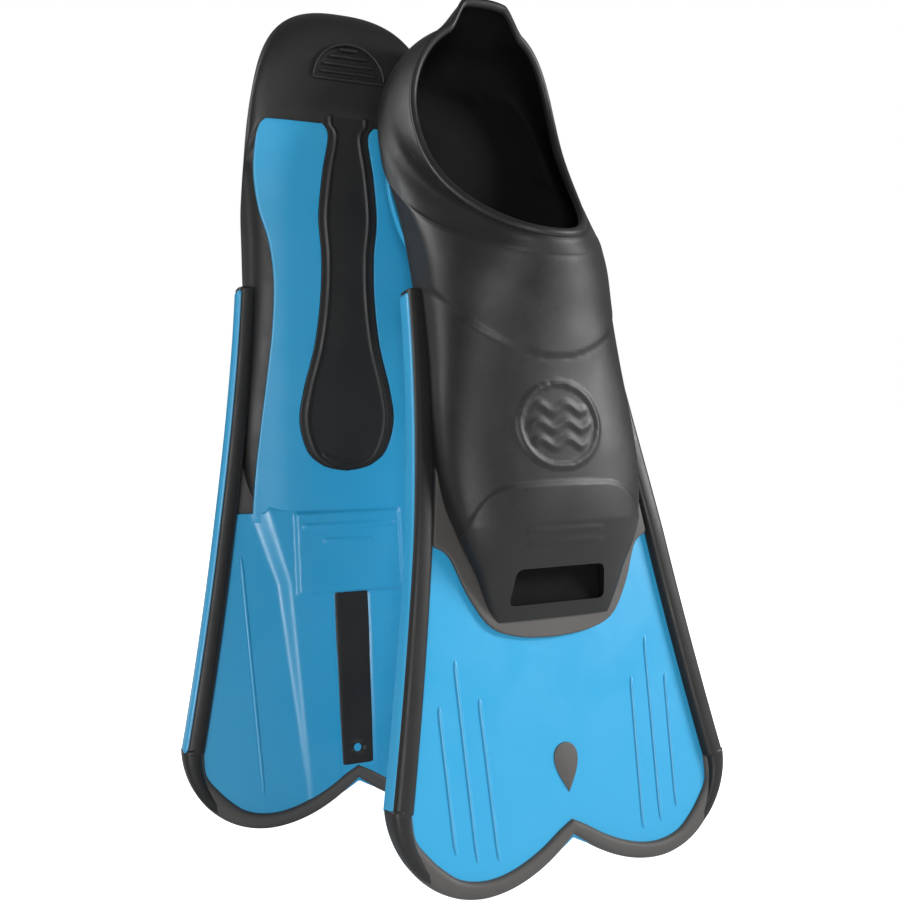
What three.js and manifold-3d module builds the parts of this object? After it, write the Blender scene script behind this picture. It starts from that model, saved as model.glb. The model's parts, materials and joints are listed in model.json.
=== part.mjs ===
// A pair of short full-foot swim fins standing on their blade tips.
// Each fin is a stiff plastic blade and sole frame, with a rubber foot pocket, rails and tip trim.
// Millimetres, +Z up. In a fin's own frame X is sideways, Z runs from the blade tip to the heel,
// and the dorsal side (the top of the foot) faces -Y.
import * as THREE from 'three';
import { mergeVertices } from 'three/addons/utils/BufferGeometryUtils.js';
import Module from 'manifold-3d';

const wasm = await Module();
wasm.setup();

// ---- driving dimensions, mm and degrees ----
const gap = 0.3;                  // clearance between touching pieces
const tipCentre = 46;             // sideways place of each blade lobe's lowest point
const notchHeight = 18.5;         // notch between the two lobes
const lobeRadius = 43;            // outer corner of a lobe; also the height of the widest point
const railTop = 277;              // upper end of the side rails
const narrowHalf = 55;            // half-width of the fin at the top of the rails
const flare = 34;                 // extra half-width at the widest point
const stripWidth = 2.2;           // coloured strip outside each rubber rail
const railWidth = 8;              // rubber rail at the blade
const railTopWidth = 4.2;         // rubber rail at its upper end
const railHalf = 6.3;             // rails and strips stand this far each side of the blade plane
const webHalf = 1.4;              // half the blade's thickness
const flexHeight = 104.6;         // line about which the blade bends
const flexAngle = 16;             // free angle left at the bending line
const bendHeight = 158.5;         // where the sole starts to turn away from the blade plane
const soleAngle = 9.7;            // angle of the sole to the blade plane
const soleOffset = 5;             // sole face below the blade plane at the bend
const soleThickness = 3;          // sole frame arms
const wall = 3;                   // rubber wall of the foot pocket
const pocketLow = 116;            // lower end of the foot pocket
const heelHeight = 420;           // furthest point of the heel
const slotLow = 123;              // toe slot
const slotHigh = 138;
const slotHalf = 26;
const padRecess = 0.4;            // rubber sole insert, below the sole face
const pegHeights = [62, 82, 122, 142];
const pegInset = 4.6;             // pegs that hold a rail in the web, from the strip inwards
const pegHalf = 1.6;
const pegRise = 3;
const trimHalf = 3.6;             // tip trim, each side of the blade plane
const trimLow = 7.5;              // its band at a lobe's lowest point
const trimRise = 17.5;            // how much higher the band's inner edge is at the notch
const trimHook = 0.0203;          // rise of the inner edge towards the outer corner
const trimCorner = [78, 30];
const gripRadius = 19;            // heel grip: half a disc on the sole face
const gripHeight = 17;
const gripBase = 222;             // its straight side, from the bend
const gripOut = 1.2;
const gripIn = 0.6;
const rightLean = 11.5;           // how far each fin leans back from upright
const leftLean = 8.5;
const leftTurn = 175.9;           // the second fin faces the other way
const leftPlace = [-59.4, 111.7]; // the second fin's tip, from the first one's

const colours = {
  frame: { color: 0x2f9bd6, roughness: 0.38, metalness: 0 },
  rubber: { color: 0x1b1b1c, roughness: 0.62, metalness: 0 },
  trim: { color: 0x2b2b2b, roughness: 0.6, metalness: 0 },
};

// ---- helpers ----
function toSolid(geometry) {
  geometry.deleteAttribute('normal');
  geometry.deleteAttribute('uv');
  const merged = mergeVertices(geometry, 1e-4);
  const vertProperties = new Float32Array(merged.attributes.position.array);
  const triVerts = new Uint32Array(merged.index.array);
  return new wasm.Manifold(new wasm.Mesh({ numProp: 3, vertProperties, triVerts }));
}

function toMesh(name, solid, look) {
  const { vertProperties, triVerts } = solid.getMesh();
  const geometry = new THREE.BufferGeometry();
  geometry.setAttribute('position', new THREE.Float32BufferAttribute(vertProperties, 3));
  geometry.setIndex(new THREE.BufferAttribute(triVerts, 1));
  geometry.computeVertexNormals();
  const mesh = new THREE.Mesh(geometry, new THREE.MeshStandardMaterial(look));
  mesh.name = name;
  return mesh;
}

// A flat outline of [x, z] points, made solid between two heights above the blade plane.
function plate(outline, low, high) {
  const shape = new THREE.Shape(outline.map(([x, z]) => new THREE.Vector2(x, z)));
  const geometry = new THREE.ExtrudeGeometry(shape, { depth: high - low, bevelEnabled: false });
  geometry.rotateX(Math.PI / 2);
  geometry.translate(0, -low, 0);
  return toSolid(geometry);
}

// A side-view outline of [height, z] points, made solid from -half to half sideways.
function sideCut(outline, half) {
  const shape = new THREE.Shape(outline.map(([height, z]) => new THREE.Vector2(-height, z)));
  const geometry = new THREE.ExtrudeGeometry(shape, { depth: 2 * half, bevelEnabled: false });
  const turn = new THREE.Matrix4().set(0, 0, 1, -half, 1, 0, 0, 0, 0, 1, 0, 0, 0, 0, 0, 1);
  geometry.applyMatrix4(turn);
  return toSolid(geometry);
}

function block(x, low, high, z0, z1) {
  return plate([[-x, z0], [x, z0], [x, z1], [-x, z1]], low, high);
}

// Closed loft through rings of equal length, with a fan over each end.
function loft(rings) {
  const count = rings[0].length;
  const points = rings.flat();
  const ends = [rings[0], rings[rings.length - 1]];
  for (const ring of ends) {
    const sum = ring.reduce((a, b) => [a[0] + b[0], a[1] + b[1], a[2] + b[2]]);
    points.push(sum.map((value) => value / count));
  }
  const index = [];
  for (let i = 0; i < rings.length - 1; i += 1) {
    for (let j = 0; j < count; j += 1) {
      const a = i * count + j;
      const b = i * count + ((j + 1) % count);
      index.push(a, b, b + count, a, b + count, a + count);
    }
  }
  const first = points.length - 2;
  const last = (rings.length - 1) * count;
  for (let j = 0; j < count; j += 1) {
    const k = (j + 1) % count;
    index.push(first, k, j, first + 1, last + j, last + k);
  }
  const geometry = new THREE.BufferGeometry();
  geometry.setAttribute('position', new THREE.Float32BufferAttribute(points.flat(), 3));
  geometry.setIndex(index);
  return toSolid(geometry);
}

function spline(points, count) {
  const curve = new THREE.SplineCurve(points.map(([x, z]) => new THREE.Vector2(x, z)));
  return curve.getPoints(count).map((point) => [point.x, point.y]);
}

// Value at z of a smooth curve through [z, value] pairs.
function along(pairs, z) {
  const last = pairs.length - 1;
  if (z <= pairs[0][0]) return pairs[0][1];
  if (z >= pairs[last][0]) return pairs[last][1];
  const i = pairs.findIndex(([end]) => end > z) - 1;
  const [z0, a] = pairs[i];
  const [z1, b] = pairs[i + 1];
  const before = pairs[Math.max(i - 1, 0)];
  const after = pairs[Math.min(i + 2, last)];
  const slopeA = (b - before[1]) / (z1 - before[0]);
  const slopeB = (after[1] - a) / (after[0] - z0);
  const t = (z - z0) / (z1 - z0);
  const bend = (z1 - z0) * (slopeA * (1 - t) - slopeB * t) - (b - a) * (1 - 2 * t);
  return a + (b - a) * t + t * (1 - t) * bend;
}

// The other half of an outline, without the points on the middle line.
const mirror = (outline) => outline.filter(([x]) => x > 0).map(([x, z]) => [-x, z]).reverse();
const bothSides = (right) => [...right, ...mirror(right)];
const fromTo = (a, b, count) => Array.from({ length: count + 1 }, (_, i) => a + ((b - a) * i) / count);

// ---- shared curves ----
function halfWidth(z) {
  const rise = Math.max(0, (290 - z) / (290 - lobeRadius));
  return narrowHalf + flare * rise ** 1.5;
}

const railAt = (z) => railWidth + ((railTopWidth - railWidth) * (z - lobeRadius)) / (railTop - lobeRadius);
const soleHeight = (z) => -soleOffset - Math.max(0, z - bendHeight) * Math.tan(THREE.MathUtils.degToRad(soleAngle));

// The right half of the tip's edge, from the notch to the widest point.
function tipEdge(inset) {
  const notch = notchHeight - inset;
  const inner = fromTo(0, 40, 5).map((x) => [x, inset + notch * (1 - x / tipCentre) ** 2]);
  const outer = fromTo(-90, 0, 7).map((degrees) => {
    const angle = THREE.MathUtils.degToRad(degrees);
    const radius = lobeRadius - inset;
    return [tipCentre + radius * Math.cos(angle), lobeRadius + radius * Math.sin(angle)];
  });
  return [...inner, ...outer];
}

function sideCurve(inset, z0, z1, count) {
  return fromTo(z0, z1, count).map((z) => [halfWidth(z) - inset, z]);
}

// Everything below, or everything above, the bending line, with the free angle taken from the upper part.
function belowFlex(solid) {
  return solid.intersect(block(120, -60, 60, -20, flexHeight - gap / 2));
}

function aboveFlex(solid) {
  const rise = 60 * Math.tan(THREE.MathUtils.degToRad(flexAngle));
  const base = flexHeight + gap / 2;
  return solid.intersect(sideCut([[0, base], [60, base + rise], [60, 480], [-60, 480], [-60, base + rise]], 120));
}

// ---- stiff plastic: blade web, strips, sole frame ----
function pegs(clearance) {
  const across = pegHalf + clearance;
  const rise = pegRise + clearance;
  const cuts = [];
  for (const z of pegHeights) {
    for (const side of [-1, 1]) {
      const x = side * (halfWidth(z) - stripWidth - pegInset);
      const outline = [[x - across, z - rise], [x + across, z - rise],
        [x + across, z + rise], [x - across, z + rise]];
      cuts.push(plate(outline, -railHalf + 1, railHalf - 1));
    }
  }
  return cuts.reduce((all, cut) => all.add(cut));
}

function webPlate(inset, extra) {
  const right = [...tipEdge(4 + inset), ...sideCurve(inset, lobeRadius + 4, 160, 6), [50 - inset, 172 - inset]];
  return plate(bothSides(right), -webHalf - extra, webHalf + extra);
}

function strips() {
  const make = (side) => {
    const outer = sideCurve(0, lobeRadius + gap, railTop, 9);
    const inner = sideCurve(stripWidth, lobeRadius + gap, railTop - 2, 9).reverse();
    const outline = [...outer, ...inner].map(([x, z]) => [side * x, z]);
    return plate(outline, -railHalf, railHalf);
  };
  return make(1).add(make(-1));
}

function bladeStock() {
  return webPlate(0.2, 0).subtract(pegs(gap)).add(strips());
}

// Turns a solid built flat on the sole (heights from the sole face, z from the bend) to its real angle.
function onSole(solid) {
  return solid.rotate([-soleAngle, 0, 0]).translate([0, soleOffset, bendHeight]);
}

const armOutline = () => spline([[50, 0], [48.5, 20], [46, 42], [43, 66], [40, 92], [39, 118], [41.5, 138],
  [46.5, 154], [49, 172], [48, 188], [44, 199]], 16);
const windowOutline = () => spline([[0, 20], [12, 22.5], [22, 32], [26, 46], [24, 62], [18, 86], [15, 110],
  [14.5, 132], [16, 152], [14, 174], [10.5, 199]], 16);

// The two arms of the sole as one plate, larger all round by extra.
function solePlate(extra) {
  const outer = armOutline().map(([x, z]) => [x + extra, z + (z > 190 ? extra : 0)]);
  const full = bothSides([[outer[0][0], -3], ...outer]);
  return onSole(plate(full, -extra, soleThickness + extra));
}

function soleArms() {
  const window = bothSides([...windowOutline(), [0, 215]]);
  return solePlate(0).subtract(onSole(plate(window, -4, 8)));
}

function toePlatform() {
  const web = plate([[-52, 105], [52, 105], [51, 172], [-51, 172]], -1.2, 1.2);
  const box = plate([[-28, 115], [28, 115], [30, 159], [-30, 159]], -6, 0);
  const ramp = sideCut([[-5, 150], [0, 150], [1.4, 172], [-4, 172], [-7, 166]], 49);
  return web.add(box).add(ramp);
}

// ---- rubber ----
function railBars() {
  const make = (side) => {
    const outer = sideCurve(stripWidth + gap, lobeRadius + gap, railTop - 3, 9);
    const innerEdge = (z) => halfWidth(z) - stripWidth - gap - railAt(z);
    const inner = fromTo(railTop - 3, lobeRadius + gap, 9).map((z) => [innerEdge(z), z]);
    return plate([...outer, ...inner].map(([x, z]) => [side * x, z]), -railHalf, railHalf);
  };
  const slab = webPlate(-0.2, gap);
  return [1, -1].map((side) => {
    const bar = make(side);
    return bar.subtract(slab).add(bar.intersect(pegs(0)));
  });
}

function tipTrim() {
  const low = tipEdge(0);
  const inner = fromTo(77, tipCentre, 4).map((x) => [x, trimLow + trimHook * (x - tipCentre) ** 2]);
  const middle = fromTo(38, 0, 4).map((x) => [x, trimLow + trimRise * (1 - x / tipCentre) ** 2]);
  const corner = [[halfWidth(lobeRadius) - stripWidth - railWidth, lobeRadius], trimCorner];
  const band = plate(bothSides([...low, ...corner, ...inner, ...middle]), -trimHalf, trimHalf);
  return band.subtract(webPlate(-0.2, gap));
}

// Outer sizes of the foot pocket at each height: half-width, underside and top of the foot.
const pocketHalf = [[pocketLow, 31], [124, 34], [138, 39], [158, 48], [200, 51.5], [240, 49], [276, 47.4],
  [300, 48.2], [330, 49.5], [360, 48.5], [382, 43], [398, 33], [408, 23], [415, 12]];
const pocketTop = [[pocketLow, 5], [124, 8], [138, 13], [152, 19], [176, 24], [205, 26.5], [233, 29], [260, 32],
  [284, 36], [320, 40], [360, 38], [400, 30], [415, 16]];
const heelRise = [[382, 0], [398, 3], [408, 8], [415, 17]];

function pocketRing(z, inset) {
  const half = along(pocketHalf, z) - inset;
  const onBlade = webHalf + gap;
  const blend = THREE.MathUtils.smoothstep(z, 150, 176);
  const low = onBlade * (1 - blend) + soleHeight(z) * blend + along(heelRise, Math.max(z, 382)) + inset;
  const floor = inset > 0 && z < 368 ? Math.max(low, soleHeight(z) + soleThickness + gap + inset) : low;
  const high = Math.max(along(pocketTop, z) - inset, floor + 1.5);
  const middle = (floor + high) / 2;
  const rise = (high - floor) / 2;
  return fromTo(2 * Math.PI, 0, 26).slice(0, -1).map((angle) => {
    const power = Math.sin(angle) > 0 ? 2 / 2.3 : 2 / 4;
    const across = Math.sign(Math.cos(angle)) * Math.abs(Math.cos(angle)) ** power;
    const up = Math.sign(Math.sin(angle)) * Math.abs(Math.sin(angle)) ** power;
    return [half * across, -(middle + rise * up), z];
  });
}

// The edge of the foot opening in side view, as [z, height above the sole].
const rimEdge = [[284, 66], [288, 54], [300, 43], [322, 34], [350, 29], [376, 31], [396, 38], [412, 46]];

function openingCut() {
  const curve = fromTo(284, 412, 12).map((z) => [soleHeight(z) + along(rimEdge, z), z]);
  return sideCut([...curve, [soleHeight(412) + 46, 470], [110, 470], [110, 284]], 90);
}

function heelTab() {
  const base = soleHeight(heelHeight);
  const ring = (half, low, high, z) => [[-half * 0.8, -high, z], [half * 0.8, -high, z],
    [half, -low, z], [-half, -low, z]];
  return loft([ring(20, base + 30, base + 42, 402), ring(17, base + 36, base + 47, 414),
    ring(11, base + 43, base + 51, 427)]);
}

function footPocket(frameSpace) {
  const outer = loft([...fromTo(pocketLow, 404, 20), 410, 415].map((z) => pocketRing(z, 0)));
  const inner = loft([...fromTo(slotLow + 4, 400, 18), 408].map((z) => pocketRing(z, wall)));
  const rearWall = outer.subtract(inner).subtract(openingCut()).add(heelTab().subtract(inner));
  const slotRight = [[slotHalf, slotLow], [slotHalf - 3, slotHigh]];
  const slot = plate(bothSides(slotRight), webHalf + gap + 2, 30);
  const between = plate(bothSides([...sideCurve(stripWidth + 2 * gap + railWidth, 60, 140, 3),
    ...fromTo(160, 300, 5).map((z) => [halfWidth(z) - stripWidth - 2 * gap - railAt(z), z])]), -10, 10);
  const sideSpace = block(90, -railHalf - gap, railHalf + gap, 60, railTop + 1).subtract(between);
  return rearWall.subtract(slot).subtract(frameSpace).subtract(sideSpace);
}

function toeApron() {
  const right = spline([[0, 107], [18, 108.5], [33, 114.5], [43, 129], [50, 146]], 7);
  const skirt = plate(bothSides([...right, [50, 152]]), webHalf + gap, 4.6);
  const toe = [[31, pocketLow - gap], [34, 124], [39, 138], [46, 153]].map(([x, z]) => [x + gap, z]);
  const hole = plate(bothSides(toe), 0, 9);
  return skirt.subtract(hole);
}

function solePad() {
  const outline = windowOutline().map(([x, z]) => [Math.max(x - gap, 0), Math.min(z + gap, 198)]);
  return onSole(plate(bothSides(outline), padRecess, soleThickness - gap));
}

function heelGrip(clearance) {
  const across = gripRadius + clearance;
  const rise = gripHeight + clearance;
  const base = gripBase - clearance;
  const arc = fromTo(0, 180, 12).map((degrees) => {
    const angle = THREE.MathUtils.degToRad(degrees);
    return [across * Math.cos(angle), base + rise * Math.sin(angle)];
  });
  return onSole(plate(arc, -gripOut - clearance, gripIn + clearance));
}

function centreStrip() {
  const right = [[9, 26], [10, 112], [8, 113.5]];
  const hole = plate(fromTo(0, 324, 9).map((degrees) => {
    const angle = THREE.MathUtils.degToRad(degrees);
    return [2.2 * Math.cos(angle), 34 + 2.2 * Math.sin(angle)];
  }), -9, 9);
  return plate(bothSides(right), -3.2, -webHalf - gap).subtract(hole);
}

// A plain fan-shaped inlay on the blade's face.
function bladeBadge() {
  const arc = fromTo(35, 145, 6).map((degrees) => {
    const angle = THREE.MathUtils.degToRad(degrees);
    return [11 * Math.cos(angle), 42 + 15 * Math.sin(angle)];
  });
  return plate([[0, 38], ...arc], webHalf + gap, webHalf + 1.3);
}

// ---- one fin ----
function buildFin(side) {
  const fin = new THREE.Group();
  const place = (name, solid, look) => fin.add(toMesh(`${side}_${name}`, solid, look));
  const stock = bladeStock();
  const sole = stock.add(toePlatform()).add(soleArms()).subtract(pegs(gap));
  const toeSpace = plate([[-53, 100], [53, 100], [52, 173], [-52, 173]], -12, webHalf + gap);
  const space = solePlate(gap).add(toeSpace).add(heelGrip(gap));
  place('sole_frame', aboveFlex(sole), colours.frame);
  place('blade', belowFlex(stock), colours.frame);
  place('foot_pocket', aboveFlex(footPocket(space)), colours.rubber);
  place('toe_apron', toeApron(), colours.trim);
  place('sole_pad', solePad(), colours.rubber);
  place('heel_grip', heelGrip(0), colours.rubber);
  railBars().forEach((bar, i) => {
    const hand = ['outer', 'inner'][i];
    place(`${hand}_rail`, aboveFlex(bar), colours.rubber);
    place(`${hand}_blade_rail`, belowFlex(bar), colours.rubber);
  });
  place('tip_trim', tipTrim(), colours.trim);
  place('centre_strip', belowFlex(centreStrip()), colours.rubber);
  place('blade_badge', bladeBadge(), colours.trim);
  return fin;
}

const group = new THREE.Group();
const rightFin = buildFin('right');
rightFin.rotation.x = THREE.MathUtils.degToRad(-rightLean);
const leftFin = buildFin('left');
leftFin.rotation.x = THREE.MathUtils.degToRad(leftLean);
const leftStand = new THREE.Group();
leftStand.add(leftFin);
leftStand.rotation.z = THREE.MathUtils.degToRad(leftTurn);
leftStand.position.set(leftPlace[0], leftPlace[1], 0);
group.add(rightFin, leftStand);
group.updateMatrixWorld(true);

// Stand the pair on the floor, with the origin under the middle of its box.
const bounds = new THREE.Box3().setFromObject(group, true);
const centre = bounds.getCenter(new THREE.Vector3());
group.position.set(-centre.x, -centre.y, -bounds.min.z);
group.updateMatrixWorld(true);

export default group;
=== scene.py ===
import json
import math

import bmesh
import bpy
import numpy as np
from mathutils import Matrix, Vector


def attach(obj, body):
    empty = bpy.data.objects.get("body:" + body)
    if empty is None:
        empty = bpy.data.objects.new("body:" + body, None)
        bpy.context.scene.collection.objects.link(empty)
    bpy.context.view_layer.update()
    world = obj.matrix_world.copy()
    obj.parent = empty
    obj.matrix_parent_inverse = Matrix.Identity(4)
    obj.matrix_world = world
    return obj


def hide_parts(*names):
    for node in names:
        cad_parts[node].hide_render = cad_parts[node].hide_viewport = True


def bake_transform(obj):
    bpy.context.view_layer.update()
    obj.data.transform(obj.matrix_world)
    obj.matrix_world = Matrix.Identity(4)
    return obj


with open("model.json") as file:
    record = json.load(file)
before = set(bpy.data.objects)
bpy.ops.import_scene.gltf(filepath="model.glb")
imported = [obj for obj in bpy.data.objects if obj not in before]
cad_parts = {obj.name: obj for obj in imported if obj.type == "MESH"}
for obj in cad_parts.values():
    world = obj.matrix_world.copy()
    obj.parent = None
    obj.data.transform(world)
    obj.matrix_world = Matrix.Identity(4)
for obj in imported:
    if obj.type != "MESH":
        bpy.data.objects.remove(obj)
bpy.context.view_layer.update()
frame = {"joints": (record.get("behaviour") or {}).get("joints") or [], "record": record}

record = frame["record"]
mm = 0.001
mergeDistance = 1e-6

# Sizes of one fin, in millimetres and degrees. x is sideways, z runs from the tip to the heel,
# d is the height above the blade's middle towards the top of the foot.
fin = {
    "tipCentre": 46, "notchHeight": 18.5, "lobeRadius": 43,
    "railTop": 272, "narrowHalf": 55, "flare": 34, "flareEnd": 290, "flareCurve": 1.5,
    "stripWidth": 2.2, "railWidth": 8.4, "railTopWidth": 7.6, "railHalf": 6.3,
    "railBend": 10, "railBendFrom": 150, "railBendCurve": 1.4,
    "webHalf": 1.4, "flexHeight": 104.6, "flexStart": 0.1, "flexHalf": 14, "bendHeight": 158.5,
    "soleAngle": 9.7, "soleOffset": 5, "soleThickness": 3,
}
sides = ("right", "left")
handWord = {1: "outer", -1: "inner"}


def finAxes(side):
    # the fin's own origin and directions, from its bending joint and the face of its sole
    joint = next(j for j in frame["joints"] if j["name"] == side + "_blade_flex")
    mount = next(m for m in record["mounts"] if m["name"] == side + "_sole")
    across = Vector(joint["axis"]).normalized()
    normal = Vector(mount["axis"]).normalized()
    turned = across.cross(normal)
    angle = math.radians(fin["soleAngle"])
    plantar = math.cos(angle) * normal + math.sin(angle) * turned
    up = math.cos(angle) * turned - math.sin(angle) * normal
    origin = Vector(joint["pos_m"]) - up * fin["flexHeight"] * mm
    return origin, across, -plantar, up


axesOf = {side: finAxes(side) for side in sides}


def toRow(side, points):
    origin, across, dorsal, up = (np.array(v) for v in axesOf[side])
    p = np.asarray(points, float).reshape(-1, 3) * mm
    return origin + p[:, :1] * across + p[:, 1:2] * dorsal + p[:, 2:] * up


def halfWidth(z):
    # half of the fin's width at a height
    rise = np.clip((fin["flareEnd"] - z) / (fin["flareEnd"] - fin["lobeRadius"]), 0, None)
    return fin["narrowHalf"] + fin["flare"] * rise ** fin["flareCurve"]


def railAt(z):
    # width of a rail at a height
    share = (z - fin["lobeRadius"]) / (fin["railTop"] - fin["lobeRadius"])
    return fin["railWidth"] + (fin["railTopWidth"] - fin["railWidth"]) * share


def railLean(z):
    # the rails turn a little towards the sole above the bend
    share = np.clip((z - fin["railBendFrom"]) / (fin["railTop"] - fin["railBendFrom"]), 0, None)
    return -fin["railBend"] * share ** fin["railBendCurve"]


def soleHeight(z):
    slope = math.tan(math.radians(fin["soleAngle"]))
    return -fin["soleOffset"] - np.clip(z - fin["bendHeight"], 0, None) * slope


def ease(low, high, value):
    t = np.clip((value - low) / (high - low), 0, 1)
    return t * t * (3 - 2 * t)


def softStep(width, value):
    # from 0 to 1 over the width each side of zero
    return ease(-width, width, value)


def ridge(top, foot, distance):
    # 1 up to the distance top, falling to 0 at the distance foot
    return 1 - ease(top, foot, distance)


def fullTurn(count):
    return np.linspace(0, 2 * math.pi, count, endpoint=False)


def smoothTable(rows, count):
    # Catmull-Rom through the rows of a table, evenly in row number
    rows = np.asarray(rows, float)
    t = np.linspace(0, len(rows) - 1, count)
    i = np.clip(t.astype(int), 0, len(rows) - 2)
    f = (t - i)[:, None]
    before = rows[np.clip(i - 1, 0, None)]
    a, b = rows[i], rows[i + 1]
    after = rows[np.clip(i + 2, None, len(rows) - 1)]
    return 0.5 * (2 * a + (b - before) * f + (2 * before - 5 * a + 4 * b - after) * f ** 2
                  + (3 * a - before - 3 * b + after) * f ** 3)


def power(value, exponent):
    return np.sign(value) * np.abs(value) ** exponent


def evenly(outline, count):
    # points at even steps along an outline
    length = np.concatenate([[0], np.cumsum(np.hypot(*np.diff(outline, axis=0).T))])
    share = np.linspace(0, 1, count)
    return np.stack([np.interp(share, length / length[-1], outline[:, k]) for k in (0, 1)], 1)


def gridFaces(rows, columns, closed):
    faces = []
    for i in range(rows - 1):
        for j in range(columns if closed else columns - 1):
            k = (j + 1) % columns
            low, high = i * columns, (i + 1) * columns
            faces.append((low + j, low + k, high + k, high + j))
    return faces


def addObject(name, data):
    item = bpy.data.objects.new(name, data)
    bpy.context.scene.collection.objects.link(item)
    return item


def makeObject(name, side, points, faces, material, second=None):
    # second is a face number and the material of the faces from that number on
    mesh = bpy.data.meshes.new(name)
    mesh.from_pydata(toRow(side, points).tolist(), [], faces)
    mesh.materials.append(material)
    if second:
        mesh.materials.append(second[1])
        for face in mesh.polygons[second[0]:]:
            face.material_index = 1
    piece = addObject(name, mesh)
    work = bmesh.new()
    work.from_mesh(mesh)
    bmesh.ops.remove_doubles(work, verts=work.verts, dist=mergeDistance)
    bmesh.ops.recalc_face_normals(work, faces=work.faces)
    work.to_mesh(mesh)
    work.free()
    mesh.shade_smooth()
    return piece


def bakeModifiers(piece):
    # the evaluated shape becomes the plain mesh
    graph = bpy.context.evaluated_depsgraph_get()
    mesh = bpy.data.meshes.new_from_object(piece.evaluated_get(graph))
    piece.modifiers.clear()
    piece.data = mesh
    return piece


def bevelEdges(piece, width, segments, angle):
    bevel = piece.modifiers.new("soften", "BEVEL")
    bevel.width, bevel.segments = width * mm, segments
    bevel.limit_method, bevel.angle_limit = "ANGLE", math.radians(angle)


def cutAway(piece, cutter):
    cut = piece.modifiers.new("cut", "BOOLEAN")
    cut.operation, cut.object, cut.solver = "DIFFERENCE", cutter, "EXACT"
    bakeModifiers(piece)
    bpy.data.objects.remove(cutter)


def sweep(rings):
    # closed tube through rings of equal length, with its two ends fanned shut
    count = len(rings[0])
    points = [p for ring in rings for p in ring]
    faces = gridFaces(len(rings), count, True)
    for ring, start in ((rings[0], 0), (rings[-1], (len(rings) - 1) * count)):
        points.append(np.mean(ring, axis=0))
        centre = len(points) - 1
        faces += [(centre, start + j, start + (j + 1) % count) for j in range(count)]
    return points, faces


# steps at each end of a bar: a share of its end rounding, and how full the section is there
barEnds = ((0, 0.35), (0.35, 0.7), (1.0, 1.0))


def barRings(inner, outer, low, high, heights, sections, square, endRound, lean=lambda z: 0):
    # a bar standing along z with a rounded-square section between x = inner(z) and outer(z)
    angles = fullTurn(sections)
    first, last = heights[0], heights[-1]
    levels = [(first + share * endRound, full) for share, full in barEnds]
    levels += [(z, 1.0) for z in heights if first + endRound < z < last - endRound]
    levels += [(last - share * endRound, full) for share, full in reversed(barEnds)]
    rings = []
    for z, full in levels:
        x0, x1, d0, d1 = inner(z), outer(z), low(z), high(z)
        half, rise = (x1 - x0) / 2, (d1 - d0) / 2
        cut = (1 - full) * min(abs(half), rise)
        cx = (x0 + x1) / 2 + (abs(half) - cut) * power(np.cos(angles), 2 / square)
        cd = (d0 + d1) / 2 + (rise - cut) * power(np.sin(angles), 2 / square) + lean(z)
        rings.append(np.stack([cx, cd, np.full_like(cx, z)], 1))
    return sweep(rings)


def mappedSheet(left, right, rows, columns, height):
    # a curved sheet: for each z, x runs between left(z) and right(z), and height(x, z) gives d
    z = np.asarray(rows, float)[:, None]
    u = np.linspace(0, 1, columns)[None, :]
    x = left(z) + (right(z) - left(z)) * u
    z = z + 0 * x
    return np.stack([x, height(x, z), z], 2)


def closedPlate(top, bottom):
    # joins two sheets of the same grid into one closed solid
    rows, columns = top.shape[:2]
    points = np.concatenate([top.reshape(-1, 3), bottom.reshape(-1, 3)])
    faces = gridFaces(rows, columns, False)
    count = rows * columns
    faces += [tuple(count + i for i in reversed(f)) for f in faces]
    edge = list(range(columns))
    edge += [i * columns + columns - 1 for i in range(1, rows)]
    edge += [(rows - 1) * columns + j for j in range(columns - 2, -1, -1)]
    edge += [i * columns for i in range(rows - 2, 0, -1)]
    for a, b in zip(edge, edge[1:] + edge[:1]):
        faces.append((a, a + count, b + count, b))
    return points, faces


def newGroup(name, inputs, outputs):
    tree = bpy.data.node_groups.new(name, "ShaderNodeTree")
    for label, kind, value in inputs:
        item = tree.interface.new_socket(label, in_out="INPUT", socket_type=kind)
        item.default_value = value
    for label, kind in outputs:
        tree.interface.new_socket(label, in_out="OUTPUT", socket_type=kind)
    return tree, tree.nodes.new("NodeGroupInput"), tree.nodes.new("NodeGroupOutput")


def addNode(tree, kind, values=(), links=(), **settings):
    node = tree.nodes.new(kind)
    for key, value in settings.items():
        setattr(node, key, value)
    for key, value in dict(values).items():
        node.inputs[key].default_value = value
    for key, source in dict(links).items():
        tree.links.new(source, node.inputs[key])
    return node


def mouldedGrainGroup():
    # fine moulded grain over soft sink marks, as a normal
    tree, source, out = newGroup("mouldedGrain", [
        ("Grain Size", "NodeSocketFloat", 1800), ("Grain Depth", "NodeSocketFloat", 0.3),
        ("Sink Size", "NodeSocketFloat", 30), ("Sink Depth", "NodeSocketFloat", 0.1)],
        [("Normal", "NodeSocketVector")])
    place = addNode(tree, "ShaderNodeTexCoord")
    fine = addNode(tree, "ShaderNodeTexNoise", {"Detail": 3, "Roughness": 0.6},
                   {"Vector": place.outputs["Object"], "Scale": source.outputs["Grain Size"]})
    broad = addNode(tree, "ShaderNodeTexNoise", {"Detail": 2},
                    {"Vector": place.outputs["Object"], "Scale": source.outputs["Sink Size"]})
    sink = addNode(tree, "ShaderNodeBump", {"Distance": 0.002},
                   {"Height": broad.outputs["Fac"], "Strength": source.outputs["Sink Depth"]})
    grain = addNode(tree, "ShaderNodeBump", {"Distance": 0.0002},
                    {"Height": fine.outputs["Fac"], "Strength": source.outputs["Grain Depth"],
                     "Normal": sink.outputs["Normal"]})
    tree.links.new(grain.outputs["Normal"], out.inputs["Normal"])
    return tree


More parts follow.
